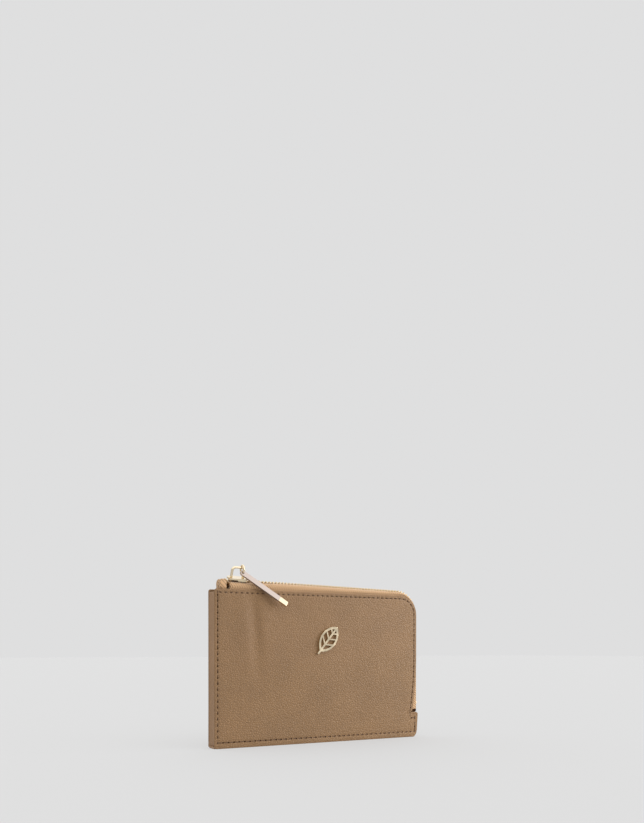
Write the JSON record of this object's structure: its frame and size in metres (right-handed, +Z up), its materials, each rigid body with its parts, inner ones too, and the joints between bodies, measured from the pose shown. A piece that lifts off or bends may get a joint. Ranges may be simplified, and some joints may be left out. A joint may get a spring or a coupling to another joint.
{
  "type": "zippered pouch",
  "caption": "Slim upright card pouch in grained leather with an L-shaped metal zip along the top and one side, a bar puller and a leaf emblem.",
  "frame": {"origin": "middle of the underside, between the spine and the right edge and between the front and the back faces, on the surface that it stands on", "axes": "+X along the length towards the zip's side, +Y towards the back, +Z up; the emblem is on the -Y face"},
  "size_m": [0.1437, 0.0146, 0.1043],
  "materials": {
    "leather": "pebbled grain, soft satin",
    "gusset_leather": "smooth, satin",
    "board": "plain board",
    "lining": "plain woven",
    "zip_tape": "herringbone weave",
    "gold_metal": "polished pale gold plate",
    "puller_metal": "polished rosy gold plate",
    "thread": "waxed sewing thread"
  },
  "bodies": {
    "pouch": {"front_panel": "leather", "back_panel": "leather", "spine_gusset": "gusset_leather", "bottom_gusset": "gusset_leather", "corner_gusset": "gusset_leather", "front_board": "board", "back_board": "board", "front_lining": "lining", "back_lining": "lining", "card_pocket_tall": "lining", "card_pocket_middle": "lining", "card_pocket_short": "lining", "front_tape": "zip_tape", "back_tape_end": "zip_tape", "front_teeth": "gold_metal", "top_stops": "gold_metal", "bottom_stop": "gold_metal", "emblem": "gold_metal", "emblem_washers": "gold_metal", "front_stitching": "thread", "back_stitching": "thread"},
    "back_flap": {"back_panel_flap": "leather", "back_board_flap": "board", "back_lining_flap": "lining", "back_tape": "zip_tape", "back_teeth": "gold_metal", "back_stitching_flap": "thread"},
    "slider": {"slider_body": "gold_metal", "slider_bridge": "gold_metal"},
    "ring": {"puller_ring": "gold_metal"},
    "puller": {"puller_bar": "puller_metal", "puller_tip": "gold_metal"}
  },
  "joints": [
    {"name": "zip_slide", "type": "slide", "parent": "pouch", "child": "slider", "axis": [0.9998, 0, -0.0218], "range_m": [0, 0.1], "deforming": ["front_tape", "back_tape", "front_teeth", "back_teeth"]},
    {"name": "mouth_open", "type": "hinge", "parent": "pouch", "child": "back_flap", "pos_m": [-0.046, 0.0045, 0.09], "axis": [-0.8692, 0, 0.4945], "range_deg": [0, 20]},
    {"name": "ring_lean", "type": "hinge", "parent": "slider", "child": "ring", "pos_m": [-0.05221, -0.0027, 0.10243], "axis": [-0.9998, 0, 0.0218], "range_deg": [0, 140]},
    {"name": "puller_swing", "type": "hinge", "parent": "ring", "child": "puller", "pos_m": [-0.05228, -0.00368, 0.09928], "axis": [-0.0064, 0.9554, -0.2951], "range_deg": [-22, 100]}
  ],
  "couplings": [
    {"joint": "mouth_open", "follows": "zip_slide", "rad_per_m": 3.4903}
  ]
}
